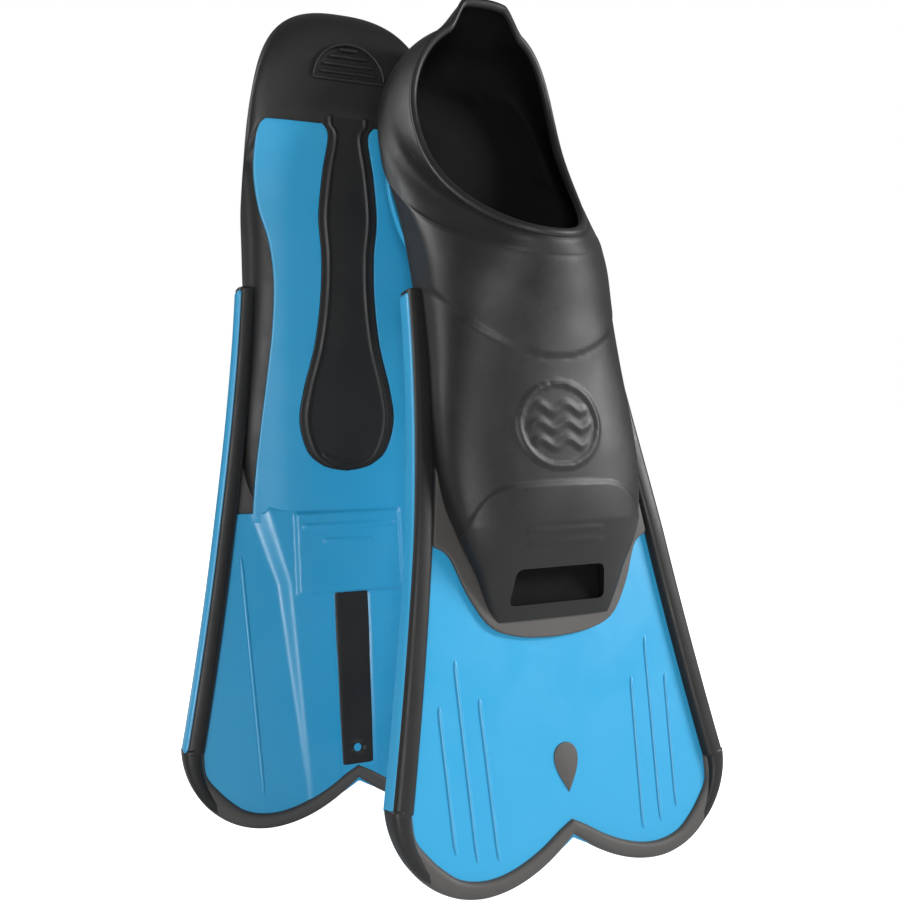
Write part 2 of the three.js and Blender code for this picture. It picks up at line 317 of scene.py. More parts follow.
def surfaceWearGroup():
    # colour drift, paler rubbed edges and a roughness that varies with handling
    tree, source, out = newGroup("surfaceWear", [
        ("Base", "NodeSocketColor", (0.1, 0.1, 0.1, 1)), ("Drift", "NodeSocketColor", (0.1, 0.1, 0.1, 1)),
        ("Worn", "NodeSocketColor", (0.3, 0.3, 0.3, 1)), ("Wear Amount", "NodeSocketFloat", 0.3),
        ("Drift Size", "NodeSocketFloat", 14), ("Smooth", "NodeSocketFloat", 0.35),
        ("Rough", "NodeSocketFloat", 0.5)],
        [("Color", "NodeSocketColor"), ("Roughness", "NodeSocketFloat")])
    place = addNode(tree, "ShaderNodeTexCoord")
    cloud = addNode(tree, "ShaderNodeTexNoise", {"Detail": 4, "Roughness": 0.55},
                    {"Vector": place.outputs["Object"], "Scale": source.outputs["Drift Size"]})
    tint = addNode(tree, "ShaderNodeMix", (), {"Factor": cloud.outputs["Fac"]}, data_type="RGBA")
    tree.links.new(source.outputs["Base"], tint.inputs[6])
    tree.links.new(source.outputs["Drift"], tint.inputs[7])
    shape = addNode(tree, "ShaderNodeNewGeometry")
    edge = addNode(tree, "ShaderNodeMapRange", {"From Min": 0.52, "From Max": 0.62},
                   {"Value": shape.outputs["Pointiness"]})
    scuff = addNode(tree, "ShaderNodeTexNoise", {"Scale": 90, "Detail": 5, "Roughness": 0.7},
                    {"Vector": place.outputs["Object"]})
    broken = addNode(tree, "ShaderNodeMapRange", {"From Min": 0.35, "From Max": 0.7},
                     {"Value": scuff.outputs["Fac"]})
    masked = addNode(tree, "ShaderNodeMath", (), {0: edge.outputs["Result"], 1: broken.outputs["Result"]},
                     operation="MULTIPLY")
    amount = addNode(tree, "ShaderNodeMath", (), {0: masked.outputs[0], 1: source.outputs["Wear Amount"]},
                     operation="MULTIPLY", use_clamp=True)
    worn = addNode(tree, "ShaderNodeMix", (), {"Factor": amount.outputs[0]}, data_type="RGBA")
    tree.links.new(tint.outputs[2], worn.inputs[6])
    tree.links.new(source.outputs["Worn"], worn.inputs[7])
    streak = addNode(tree, "ShaderNodeTexNoise",
                     {"Scale": 40, "Detail": 6, "Roughness": 0.65, "Distortion": 0.4},
                     {"Vector": place.outputs["Object"]})
    rough = addNode(tree, "ShaderNodeMapRange", {"From Min": 0.3, "From Max": 0.7},
                    {"Value": streak.outputs["Fac"], "To Min": source.outputs["Smooth"],
                     "To Max": source.outputs["Rough"]})
    tree.links.new(worn.outputs[2], out.inputs["Color"])
    tree.links.new(rough.outputs["Result"], out.inputs["Roughness"])
    return tree


grainGroup = mouldedGrainGroup()
wearGroup = surfaceWearGroup()


def mouldedMaterial(name, look):
    material = bpy.data.materials.new(name)
    material.use_nodes = True
    tree = material.node_tree
    shader = tree.nodes["Principled BSDF"]
    wear = addNode(tree, "ShaderNodeGroup", node_tree=wearGroup)
    grain = addNode(tree, "ShaderNodeGroup", node_tree=grainGroup)
    for label in ("Base", "Drift", "Worn"):
        wear.inputs[label].default_value = (*look[label], 1)
    for label in ("Wear Amount", "Drift Size", "Smooth", "Rough"):
        wear.inputs[label].default_value = look[label]
    for label in ("Grain Size", "Grain Depth", "Sink Size", "Sink Depth"):
        grain.inputs[label].default_value = look[label]
    tree.links.new(wear.outputs["Color"], shader.inputs["Base Color"])
    tree.links.new(wear.outputs["Roughness"], shader.inputs["Roughness"])
    tree.links.new(grain.outputs["Normal"], shader.inputs["Normal"])
    shader.inputs["IOR"].default_value = look["ior"]
    shader.inputs["Specular IOR Level"].default_value = look["specular"]
    shader.inputs["Sheen Weight"].default_value = look["sheen"]
    shader.inputs["Sheen Roughness"].default_value = 0.5
    return material


bluePlastic = mouldedMaterial("bluePlastic", {
    "Base": (0.016, 0.262, 0.485), "Drift": (0.028, 0.295, 0.530), "Worn": (0.22, 0.50, 0.72),
    "Wear Amount": 0.25, "Drift Size": 9, "Smooth": 0.30, "Rough": 0.44,
    "Grain Size": 1500, "Grain Depth": 0.10, "Sink Size": 22, "Sink Depth": 0.08, "ior": 1.49, "sheen": 0,
    "specular": 0.5})
blackRubber = mouldedMaterial("blackRubber", {
    "Base": (0.0085, 0.0085, 0.0085), "Drift": (0.013, 0.0125, 0.012), "Worn": (0.06, 0.06, 0.06),
    "Wear Amount": 0.5, "Drift Size": 16, "Smooth": 0.36, "Rough": 0.52,
    "Grain Size": 2200, "Grain Depth": 0.35, "Sink Size": 26, "Sink Depth": 0.10, "ior": 1.5, "sheen": 0.02,
    "specular": 0.3})
# the inside of the foot pocket: the same black rubber made darker and less shiny, as painted shade in the
# pocket and its slot
pocketPaintedShade = mouldedMaterial("pocketPaintedShade", {
    "Base": (0.004, 0.004, 0.004), "Drift": (0.006, 0.006, 0.006), "Worn": (0.01, 0.01, 0.01),
    "Wear Amount": 0.2, "Drift Size": 16, "Smooth": 0.7, "Rough": 0.9,
    "Grain Size": 2200, "Grain Depth": 0.4, "Sink Size": 26, "Sink Depth": 0.10, "ior": 1.5, "sheen": 0,
    "specular": 0.08})
greyRubber = mouldedMaterial("greyRubber", {
    "Base": (0.046, 0.043, 0.041), "Drift": (0.066, 0.062, 0.058), "Worn": (0.16, 0.15, 0.14),
    "Wear Amount": 0.5, "Drift Size": 18, "Smooth": 0.50, "Rough": 0.68,
    "Grain Size": 2200, "Grain Depth": 0.4, "Sink Size": 26, "Sink Depth": 0.08, "ior": 1.5, "sheen": 0.04,
    "specular": 0.4})
print("materials made")


def onFin(piece, side, slotName, *nodes):
    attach(piece, side + "_fin")
    return declare(piece, side, nodes)


def onBlade(piece, side, slotName, *nodes):
    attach(piece, side + "_blade_end")
    return declare(piece, side, nodes)


def bending(piece, side, slotName, *nodes):
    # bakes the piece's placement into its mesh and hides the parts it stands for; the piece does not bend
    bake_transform(piece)
    return declare(piece, side, nodes)


def declare(piece, side, nodes):
    if nodes:
        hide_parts(*[side + "_" + n for n in nodes])
    return piece


# The web of the blade. Its thick middle has half-widths and edge softness at the step heights and
# thickness at the rise heights; the box is the raised platform, with two lines on it.
blade = {"rows": 190, "columns": 150, "top": 172, "cornerTop": 158, "cornerFrom": 47, "cornerWidth": 12,
         "widestAt": 60, "spare": 5, "insideTrim": 3.6, "insideRail": 1.0, "notchDrop": 0.4,
         "stepHeights": [17, 121, 168], "stepHalf": [27, 37, 52], "stepSoft": [2.2, 5.5, 9.0],
         "outerSoft": 0.4, "riseHeights": [12, 121, 158], "rise": [0.5, 3.4, 3.6], "fade": (158, 170),
         "boxHalf": 28.5, "boxLow": 115, "boxHigh": 157, "boxRise": 1.6, "boxSoft": (0.7, 0.6, 0.8),
         "boxLines": [(150, 25), (142, 14)], "lineRise": 0.7, "lineSoft": 0.8,
         "channel": (8.6, 9.8), "channelDepth": 1.1, "channelEnd": 1, "channelFullAt": 3.2}


def tipEdge(x, inset):
    # lower edge of the lobes at x, moved inwards
    x = np.abs(x)
    notch = fin["notchHeight"] - inset * blade["notchDrop"]
    radius = fin["lobeRadius"] - inset
    inside = inset + (notch - inset) * np.clip(1 - x / fin["tipCentre"], 0, None) ** 2
    across = np.clip((x - fin["tipCentre"]) / radius, 0, 1)
    outside = inset + radius * (1 - np.sqrt(1 - across ** 2))
    return np.where(x < fin["tipCentre"], inside, outside)


def soleStep(x, z):
    # how far the thick middle of the blade stands out on the sole side
    x = np.abs(x)
    edgeAt = np.interp(z, blade["stepHeights"], blade["stepHalf"])
    softness = np.interp(z, blade["stepHeights"], blade["stepSoft"])
    rise = np.interp(z, blade["riseHeights"], blade["rise"])
    middle = rise * ridge(edgeAt - softness, edgeAt + softness * blade["outerSoft"], x)
    sideSoft, lowSoft, highSoft = blade["boxSoft"]
    box = softStep(sideSoft, blade["boxHalf"] - x)
    box = box * softStep(lowSoft, z - blade["boxLow"]) * softStep(highSoft, blade["boxHigh"] - z)
    lines = 0
    for height, half in blade["boxLines"]:
        along = blade["lineRise"] * softStep(blade["lineSoft"], half - x)
        lines = lines + along * np.exp(-((z - height) / blade["lineSoft"]) ** 2)
    channel = blade["channelDepth"] * ridge(*blade["channel"], x)
    channel = channel * softStep(blade["channelEnd"], blade["boxLow"] - z)
    channel = channel * np.clip(rise / blade["channelFullAt"], 0, 1)
    return middle * ridge(*blade["fade"], z) + box * (blade["boxRise"] + lines) - channel


def bladeWeb(side):
    u = np.linspace(-1, 1, blade["columns"])[None, :]
    v = np.linspace(0, 1, blade["rows"])[:, None]
    reach = halfWidth(blade["widestAt"]) + blade["spare"]
    x = u * reach
    low = tipEdge(x, blade["insideTrim"])
    corner = np.clip((np.abs(x) - blade["cornerFrom"]) / blade["cornerWidth"], 0, 1)
    top = blade["top"] - corner * (blade["top"] - blade["cornerTop"])
    z = low + (top - low) * v
    limit = halfWidth(np.clip(z, fin["lobeRadius"], None)) - blade["insideRail"]
    x = np.clip(x * np.minimum(1, limit / reach), -limit, limit)
    dorsal = np.stack([x, np.full_like(x, fin["webHalf"]), z], 2)
    plantar = np.stack([x, -fin["webHalf"] - soleStep(x, z), z], 2)
    points, faces = closedPlate(dorsal, plantar)
    piece = makeObject(side + "_blade_web", side, points, faces, bluePlastic)
    return bending(piece, side, "blue_plastic", "blade")


colourStrip = {"belowLobe": 0.8, "inside": 3.4, "outside": 0.35, "aboveSole": 0.5, "belowTop": 2.1,
               "rows": 90, "sections": 24, "square": 3.6, "endRound": 1.0}


def sideStrip(side, hand):
    low, high = fin["lobeRadius"] - colourStrip["belowLobe"], fin["railTop"]
    points, faces = barRings(
        lambda z: halfWidth(z) - colourStrip["inside"], lambda z: halfWidth(z) + colourStrip["outside"],
        lambda z: -fin["railHalf"] + colourStrip["aboveSole"],
        lambda z: fin["railHalf"] - colourStrip["belowTop"],
        np.linspace(low, high, colourStrip["rows"]), colourStrip["sections"], colourStrip["square"],
        colourStrip["endRound"], railLean)
    points = np.array(points) * [hand, 1, 1]
    piece = makeObject(f"{side}_{handWord[hand]}_strip", side, points, faces, bluePlastic)
    return bending(piece, side, "blue_plastic")


rail = {"belowLobe": 3, "aboveTop": 2.2, "extraHalf": 0.2, "outsideGap": 0.2,
        "rows": 110, "sections": 32, "square": 3.4, "endRound": 1.0}


def railInner(z):
    # inner face of a rail
    return halfWidth(z) - fin["stripWidth"] - railAt(z)


def sideRail(side, hand):
    low, high = fin["lobeRadius"] - rail["belowLobe"], fin["railTop"] + rail["aboveTop"]
    half = fin["railHalf"] + rail["extraHalf"]
    points, faces = barRings(
        railInner, lambda z: halfWidth(z) - rail["outsideGap"], lambda z: -half, lambda z: half,
        np.linspace(low, high, rail["rows"]), rail["sections"], rail["square"], rail["endRound"], railLean)
    points = np.array(points) * [hand, 1, 1]
    word = handWord[hand]
    piece = makeObject(f"{side}_{word}_side_rail", side, points, faces, blackRubber)
    return bending(piece, side, "black_rubber", word + "_rail", word + "_blade_rail")


# Raised ribs on the blade, as pairs of (x, z) ends. Every rib is thin at its ends and full between two
# shares of its length; flatten squeezes it towards the surface.
ribs = {"dorsal": [((61.6, 83), (59.5, 20)), ((52, 102), (49.5, 15)), ((41.5, 84), (39, 13.5))],
        "plantar": [((57, 137), (50, 16))], "width": 2.3, "sink": 0.05, "flatten": 0.8,
        "samples": 60, "roundness": 10, "endScale": 0.12, "fullAt": (0.08, 0.9)}


def ribTree():
    # each line of edges becomes a rounded rib, thin at both ends
    tree = bpy.data.node_groups.new("bladeRibs", "GeometryNodeTree")
    tree.interface.new_socket("Geometry", in_out="INPUT", socket_type="NodeSocketGeometry")
    width = tree.interface.new_socket("Rib Radius", in_out="INPUT", socket_type="NodeSocketFloat")
    finish = tree.interface.new_socket("Finish", in_out="INPUT", socket_type="NodeSocketMaterial")
    tree.interface.new_socket("Geometry", in_out="OUTPUT", socket_type="NodeSocketGeometry")
    source, out = tree.nodes.new("NodeGroupInput"), tree.nodes.new("NodeGroupOutput")
    curve = addNode(tree, "GeometryNodeMeshToCurve", (), {"Mesh": source.outputs["Geometry"]})
    fine = addNode(tree, "GeometryNodeResampleCurve", {"Count": ribs["samples"]},
                   {"Curve": curve.outputs["Curve"]})
    share = addNode(tree, "GeometryNodeSplineParameter")
    taper = addNode(tree, "ShaderNodeFloatCurve", (), {"Value": share.outputs["Factor"]})
    shape = taper.mapping.curves[0].points
    shape[0].location = (0, ribs["endScale"])
    shape[1].location = (1, ribs["endScale"])
    for place in ribs["fullAt"]:
        shape.new(place, 1.0)
    taper.mapping.update()
    profile = addNode(tree, "GeometryNodeCurvePrimitiveCircle", {"Resolution": ribs["roundness"]},
                      {"Radius": source.outputs["Rib Radius"]})
    tube = addNode(tree, "GeometryNodeCurveToMesh", {"Fill Caps": True},
                   {"Curve": fine.outputs["Curve"], "Profile Curve": profile.outputs["Curve"],
                    "Scale": taper.outputs["Value"]})
    real = addNode(tree, "GeometryNodeRealizeInstances", (), {"Geometry": tube.outputs["Mesh"]})
    smooth = addNode(tree, "GeometryNodeSetShadeSmooth", (), {"Geometry": real.outputs["Geometry"]})
    painted = addNode(tree, "GeometryNodeSetMaterial", (),
                      {"Geometry": smooth.outputs["Geometry"], "Material": source.outputs["Finish"]})
    tree.links.new(painted.outputs["Geometry"], out.inputs["Geometry"])
    return tree, width.identifier, finish.identifier


ribNodes, ribWidthSocket, ribFinishSocket = ribTree()


def nodeRibs(name, side, lines, radius, material, flatten):
    # lines are lists of (x, d, z); flatten squeezes the round ribs towards the surface
    points, edges = [], []
    for line in lines:
        edges += [(len(points) + i, len(points) + i + 1) for i in range(len(line) - 1)]
        points += line
    mesh = bpy.data.meshes.new(name)
    mesh.from_pydata(toRow(side, points).tolist(), edges, [])
    piece = addObject(name, mesh)
    modifier = piece.modifiers.new("ribs", "NODES")
    modifier.node_group = ribNodes
    modifier[ribWidthSocket] = radius * mm
    modifier[ribFinishSocket] = material
    bakeModifiers(piece)
    if not piece.data.materials:
        piece.data.materials.append(material)
    origin, normal = axesOf[side][0], axesOf[side][2]
    centre = origin + normal * points[0][1] * mm
    for vertex in piece.data.vertices:
        lift = (vertex.co - centre).dot(normal)
        vertex.co -= normal * lift * (1 - flatten)
    return piece


def bladeRibs(side):
    for name, pairs, height in (("_blade_ribs", ribs["dorsal"], fin["webHalf"] - ribs["sink"]),
                                ("_sole_side_ribs", ribs["plantar"], -fin["webHalf"] + ribs["sink"])):
        lines = [[(hand * x, height, z) for x, z in pair] for pair in pairs for hand in (1, -1)]
        piece = nodeRibs(side + name, side, lines, ribs["width"] / 2, bluePlastic, ribs["flatten"])
        bending(piece, side, "blue_plastic")


# The sole frame: outline and window as (distance up the sole, half-width). Its arms curve away at
# their outer edges by the crown.
sole = {"start": -6, "reach": 199, "crown": 1.92, "crownFrom": 30, "crownTo": 54,
        "leadRows": 12, "roundRows": 22, "rows": 90, "columns": 26, "windowRound": 26,
        "bevel": (0.8, 3, 50),
        "outer": [(0, 50), (20, 48.5), (42, 46), (66, 43), (92, 40), (118, 39), (138, 41.5), (154, 46.5),
                  (172, 49), (188, 48), (196, 46), (199, 43)],
        "window": [(20, 0), (21.2, 8), (24, 15), (31, 22), (46, 26), (62, 24), (86, 18), (110, 15),
                   (132, 14.5), (152, 16), (174, 14), (193, 11), (199, 14)], "tableSteps": 200}
windowStart = sole["window"][0][0]


def soleOuter(s):
    return np.interp(s, *smoothTable(sole["outer"], sole["tableSteps"]).T)


def soleWindow(s):
    half = np.interp(s, *smoothTable(sole["window"], sole["tableSteps"]).T)
    return half * (np.asarray(s) >= windowStart)


def windowRows(start, end, closeRows, rows):
    # distances up the sole, close together where the window begins
    close = start + np.linspace(0, 1, closeRows) ** 2 * sole["windowRound"]
    return np.concatenate([close, np.linspace(close[-1], end, rows)[1:]])


def onSolePlane(x, h, s):
    # x, height above the sole face and distance up the sole, in the fin's own frame
    angle = math.radians(fin["soleAngle"])
    d = -fin["soleOffset"] + h * math.cos(angle) - s * math.sin(angle)
    z = fin["bendHeight"] + h * math.sin(angle) + s * math.cos(angle)
    return np.stack([x, d, z], -1)


def crown(x):
    return sole["crown"] * ease(sole["crownFrom"], sole["crownTo"], np.abs(x))


def soleArms(side):
    lead = np.linspace(sole["start"], windowStart, sole["leadRows"])[:-1]
    rows = np.concatenate([lead, windowRows(windowStart, sole["reach"], sole["roundRows"], sole["rows"])])
    columns = sole["columns"]
    points, faces = [], []
    for hand in (1, -1):
        sheet = mappedSheet(soleWindow, soleOuter, rows, columns, lambda x, s: crown(x))
        x, h, s = sheet[..., 0] * hand, sheet[..., 1], sheet[..., 2]
        start = len(points)
        points += list(onSolePlane(x, h, s).reshape(-1, 3))
        faces += [tuple(start + i for i in f) for f in gridFaces(len(rows), columns, False)]
    piece = makeObject(side + "_sole_arms", side, points, faces, bluePlastic)
    orientTo(piece, -axesOf[side][2])
    wall = piece.modifiers.new("wall", "SOLIDIFY")
    wall.thickness, wall.offset = fin["soleThickness"] * mm, -1
    bevelEdges(piece, *sole["bevel"])
    bakeModifiers(piece)
    return onFin(piece, side, "blue_plastic", "sole_frame")


def orientTo(piece, direction):
    # turns an open sheet so that its front faces a direction
    total = sum((p.normal * p.area for p in piece.data.polygons), Vector())
    if total.dot(direction) < 0:
        piece.data.flip_normals()


# The rubber insert: a bead follows its edge, and an arched bead closes it at the toe end.
pad = {"recess": 0.5, "bead": 4.6, "beadRise": 0.5, "beadWidth": 0.9,
       "archAt": 25, "archCurve": 0.02, "archHalf": 13,
       "gap": 0.3, "leastHalf": 0.05, "end": 204, "roundRows": 30, "rows": 150, "columns": 60, "inner": 0.2}


def solePad(side):
    def surface(x, s):
        edge = soleWindow(s) - np.abs(x)
        bead = np.exp(-((edge - pad["bead"]) / pad["beadWidth"]) ** 2)
        arch = np.exp(-((s - pad["archAt"] - x ** 2 * pad["archCurve"]) / pad["beadWidth"]) ** 2)
        arch = arch * (np.abs(x) < pad["archHalf"])
        return pad["recess"] - pad["beadRise"] * np.maximum(bead, arch)

    def reach(s):
        return np.clip(soleWindow(s) - pad["gap"], pad["leastHalf"], None)

    rows = windowRows(windowStart + pad["gap"], pad["end"], pad["roundRows"], pad["rows"])
    sheet = mappedSheet(lambda s: -reach(s), reach, rows, pad["columns"], surface)
    x, h, s = np.moveaxis(sheet, -1, 0)
    top = onSolePlane(x, h, s)
    bottom = onSolePlane(x, np.full_like(h, fin["soleThickness"] - pad["inner"]), s)
    points, faces = closedPlate(top, bottom)
    piece = makeObject(side + "_sole_insert", side, points, faces, blackRubber)
    return onFin(piece, side, "black_rubber", "sole_pad")


# One ring of the pocket per row: z and height of its point under the foot, z and height of its point over
# the foot, half-width, how far its sides dip, squareness below and above.
pocket = {"rings": [
    (116, 6.7, 116, 9.6, 31, 0, 4.0, 3.2),
    (126, 6.7, 125, 14.2, 35.5, 0, 4.2, 3.2),
    (138, 6.6, 137, 19.4, 40, 0, 4.2, 3.0),
    (152, 5.8, 150, 25.0, 46.5, 0, 4.2, 2.8),
    (170, 4.0, 166, 30.0, 52, 0, 4.2, 2.5),
    (190, 3.4, 184, 34.5, 54.5, 0, 4.2, 2.4),
    (215, 3.4, 205, 39.5, 54, 0, 4.2, 2.3),
    (245, 3.4, 228, 45.5, 51.8, 0, 4.2, 2.25),
    (280, 3.4, 250, 52.5, 50.5, -1, 4.2, 2.2),
    (315, 3.4, 266, 59.0, 51.0, -3, 4.0, 2.15),
    (345, 3.3, 275, 63.0, 52.5, -8, 3.8, 2.1),
    (357, 0.8, 278, 64.2, 53.2, -10, 3.6, 2.1),
    (366, -0.2, 279.5, 65.0, 53.2, -12, 3.4, 2.1),
    (390, 0.2, 282, 66.2, 52.4, -15.5, 3.0, 2.1),
    (407, 4, 284, 67.0, 50.8, -18.5, 2.7, 2.15),
    (416, 13, 285.2, 67.2, 48.8, -21, 2.6, 2.2),
    (419.5, 25, 286.2, 67.2, 46.4, -24.5, 2.5, 2.25),
    (417.5, 37, 287, 66.8, 44.2, -27, 2.5, 2.3),
    (414, 46, 287.6, 66.2, 42.4, -28, 2.5, 2.3)],
    "toeEnd": (119.5, 6.7, 119.5, 14, 32.5, 0, 4.0, 3.2), "taper": 0.13, "taperFrom": 0.25,
    "floor": 4.6, "floorUntil": 395, "outerRows": 300, "innerRows": 80, "columns": 236, "wall": 3.0,
    "bead": [(0.0, 0.0), (0.9, 0.35), (1.35, 1.2), (1.3, 2.2), (0.7, 3.0), (-0.4, 3.4), (-1.6, 3.2),
             (-2.5, 2.5), (-3.0, 1.4), (-3.0, 0.2)], "beadRise": 0.9,
    "tabHalf": 21, "tabTop": 11, "tabHeight": 11, "tabLift": 2, "tabBehind": (385, 402),
    "tabGrows": (0.86, 1.0), "markedSide": (0.0, 0.35), "marksEnd": (278, 312)}


def pocketRings(table, columns, inset):
    # points of each ring; inset pulls them in by the wall
    angle = np.linspace(-math.pi / 2, 1.5 * math.pi, columns, endpoint=False)[None, :]
    c, s = np.cos(angle), np.sin(angle)
    zUnder, hUnder, zOver, hOver, half, dip, low, high = (table[:, i:i + 1] for i in range(8))
    exponent = 2 / np.where(s < 0, low, high)
    across = (half - inset) * power(c, exponent)
    share = (1 + power(s, exponent)) / 2
    across = across * (1 - pocket["taper"] * (share - pocket["taperFrom"]))
    length = np.hypot(zOver - zUnder, hOver - hUnder)
    pull = inset / length
    share = pull + (1 - 2 * pull) * share
    z = zUnder + (zOver - zUnder) * share
    h = hUnder + (hOver - hUnder) * share + dip * (1 - power(s, exponent) ** 2)
    return across, z, h


def tabShape(x, z, h, amount):
    # lifts the back of the rim into the pull tab
    side = ridge(pocket["tabTop"], pocket["tabHalf"], np.abs(x))
    behind = ease(*pocket["tabBehind"], z)
    return z + amount * pocket["tabHeight"] * side * behind, h + amount * pocket["tabLift"] * side * behind


# Marks on the upper face, in mm. The instep seam and the toe panel's edge bend sharply at their sides;
# each rise goes with how far from its line it is full and where it ends.
relief = {"seam": 233, "seamRise": 18, "seamWidth": 40, "seamTurn": 30, "seamHalf": 55, "seamPower": 10,
          "seamStep": 0.55, "seamSoft": 0.5, "groove": 0.35, "grooveWidth": 0.8,
          "toe": 176, "toeTurn": 26, "toeHalf": 50, "toePower": 6, "toeStep": 0.7, "toeSoft": 0.6,
          "sideLimit": 1.1, "ringAt": 202, "ringHalf": 21, "ringHigh": 19, "ringRise": 0.8,
          "ringEdge": (0.7, 1.5), "insideRing": (0.76, 0.84),
          "waves": (194, 202, 210), "waveHigh": 1.9, "waveTurn": 0.42, "waveRise": 0.7,
          "waveEdge": (0.9, 2.2), "lines": (155, 150), "lineHalf": 21, "lineEnd": 2, "lineRise": 0.45,
          "lineEdge": (0.5, 1.5)}


def sharpBend(x, half, exponent, turn):
    # a line's rise and slope where it bends sharply near x = half
    share = np.clip(np.abs(x) / half, 0, relief["sideLimit"])
    return turn * share ** exponent, exponent * turn / half * share ** (exponent - 1)


def reliefOnTop(x, z):
    # height of the seams, the raised toe panel and the plain marks; a distance from a bent line is
    # divided by the line's slope, so that the line keeps its width
    rise, slope = sharpBend(x, relief["seamHalf"], relief["seamPower"], relief["seamTurn"])
    seamZ = relief["seam"] + relief["seamRise"] * (x / relief["seamWidth"]) ** 2 + rise
    slope = 2 * relief["seamRise"] * np.abs(x) / relief["seamWidth"] ** 2 + slope
    upper = (z - seamZ) / np.sqrt(1 + slope ** 2)
    groove = relief["groove"] * np.exp(-(upper / relief["grooveWidth"]) ** 2)
    height = relief["seamStep"] * softStep(relief["seamSoft"], upper) - groove
    drop, slope = sharpBend(x, relief["toeHalf"], relief["toePower"], relief["toeTurn"])
    toe = (relief["toe"] - drop - z) / np.sqrt(1 + slope ** 2)
    height = height + relief["toeStep"] * softStep(relief["toeSoft"], toe)
    fromRing = np.hypot(x / relief["ringHalf"], (z - relief["ringAt"]) / relief["ringHigh"])
    ring = np.abs(fromRing - 1) * relief["ringHigh"]
    height = height + relief["ringRise"] * ridge(*relief["ringEdge"], ring)
    inside = ridge(*relief["insideRing"], fromRing)
    for centre in relief["waves"]:
        wave = np.abs(z - centre - relief["waveHigh"] * np.sin(x * relief["waveTurn"]))
        height = height + relief["waveRise"] * inside * ridge(*relief["waveEdge"], wave)
    ends = ridge(relief["lineHalf"] - relief["lineEnd"], relief["lineHalf"], np.abs(x))
    for level in relief["lines"]:
        height = height + relief["lineRise"] * ridge(*relief["lineEdge"], np.abs(z - level)) * ends
    return height


def footPocket(side):
    columns = pocket["columns"]
    table = smoothTable(pocket["rings"], pocket["outerRows"])
    x, z, h = pocketRings(table, columns, 0)
    rise = np.linspace(0, 1, pocket["outerRows"])[:, None]
    z, h = tabShape(x, z, h, ease(*pocket["tabGrows"], rise))
    outer = np.stack([x, soleHeight(z) + h, z], 2)
    normals = gridNormals(outer)
    marked = ease(*pocket["markedSide"], normals[..., 1]) * ridge(*pocket["marksEnd"], z)
    outer = outer + normals * (reliefOnTop(x, z) * marked)[..., None]
    rim = [rimRing(table[-1:], columns, out, up) for out, up in pocket["bead"]]
    innerTable = smoothTable([pocket["toeEnd"], *pocket["rings"][1:]], pocket["innerRows"])[::-1]
    xi, zi, hi = pocketRings(innerTable, columns, pocket["wall"])
    rise = np.linspace(1, 0, pocket["innerRows"])[:, None]
    zi, hi = tabShape(xi, zi, hi, ease(*pocket["tabGrows"], rise))
    hi = np.where(zi < pocket["floorUntil"], np.maximum(hi, pocket["floor"]), hi)
    inner = np.stack([xi, soleHeight(zi) + hi, zi], 2)
    points, faces = sweep([*outer, *rim, *inner])
    inside = (len(outer) + len(rim)) * columns
    # faces from the number inside on, the pocket's inner wall, take the darker rubber of painted shade
    piece = makeObject(side + "_foot_pocket_shell", side, points, faces, blackRubber, (inside, pocketPaintedShade))
    cutSlot(piece, side)
    return onFin(piece, side, "black_rubber", "foot_pocket")


def rimRing(row, columns, out, up):
    # a rounded bead round the foot opening: out is sideways from the wall, up is away from the foot
    x, z, h = pocketRings(row, columns, 0)
    centreZ = (row[0, 0] + row[0, 2]) / 2
    away = np.stack([x, z - centreZ], 2)
    away = away / np.linalg.norm(away, axis=2, keepdims=True)
    z, h = tabShape(x, z, h, 1.0)
    d = soleHeight(z) + h + up * pocket["beadRise"]
    return np.stack([x + out * away[..., 0], d, z + out * away[..., 1]], 2)[0]


def gridNormals(grid):
    along = np.gradient(grid, axis=0)
    wrapped = np.concatenate([grid[:, -1:], grid, grid[:, :1]], 1)
    around = np.gradient(wrapped, axis=1)[:, 1:-1]
    normal = np.cross(along, around)
    normal /= np.linalg.norm(normal, axis=2, keepdims=True) + 1e-9
    outward = grid - grid.mean(axis=1, keepdims=True)
    return normal * np.where((normal * outward).sum(2).mean() < 0, -1, 1)


slot = {"low": 122.5, "high": 138.5, "lowHalf": 26, "highHalf": 23.5, "corner": 3.5,
        "bottom": 5.4, "top": 40, "sharpAngle": 40}


def roundedOutline(corners, radius, steps=6):
    # rounds every corner of a closed outline of (x, z) points
    outline = []
    count = len(corners)
    for i in range(count):
        here = np.array(corners[i], float)
        before = np.array(corners[i - 1], float) - here
        after = np.array(corners[(i + 1) % count], float) - here
        a = here + before / np.linalg.norm(before) * radius
        b = here + after / np.linalg.norm(after) * radius
        for t in np.linspace(0, 1, steps):
            outline.append(tuple((1 - t) ** 2 * a + 2 * t * (1 - t) * here + t ** 2 * b))
    return outline


def cutSlot(piece, side):
    corners = [(-slot["lowHalf"], slot["low"]), (slot["lowHalf"], slot["low"]),
               (slot["highHalf"], slot["high"]), (-slot["highHalf"], slot["high"])]
    outline = roundedOutline(corners, slot["corner"])
    rings = [[(x, d, z) for x, z in outline] for d in (slot["bottom"], slot["top"])]
    cutAway(piece, makeObject(side + "_slotCutter", side, *sweep(rings), pocketPaintedShade))
    piece.data.set_sharp_from_angle(angle=math.radians(slot["sharpAngle"]))


# The apron lies on the blade round the slot; its inner edge goes down from the top to the slot.
apron = {"outline": [(0, 106.8), (18, 108.3), (33, 114), (43, 128.5), (49.5, 144), (53, 149), (57.5, 151.5)],
         "inner": [(44, 204), (43, 190), (40, 170), (36, 150), (30, 132), (27, 121)], "slotEdge": 120.5,
         "top": 204, "railFrom": 153, "railGap": 0.25, "lift": 0.1, "thickness": 2.6,
         "edgeSteps": 26, "railSteps": 14, "bevel": (0.9, 4, 40)}


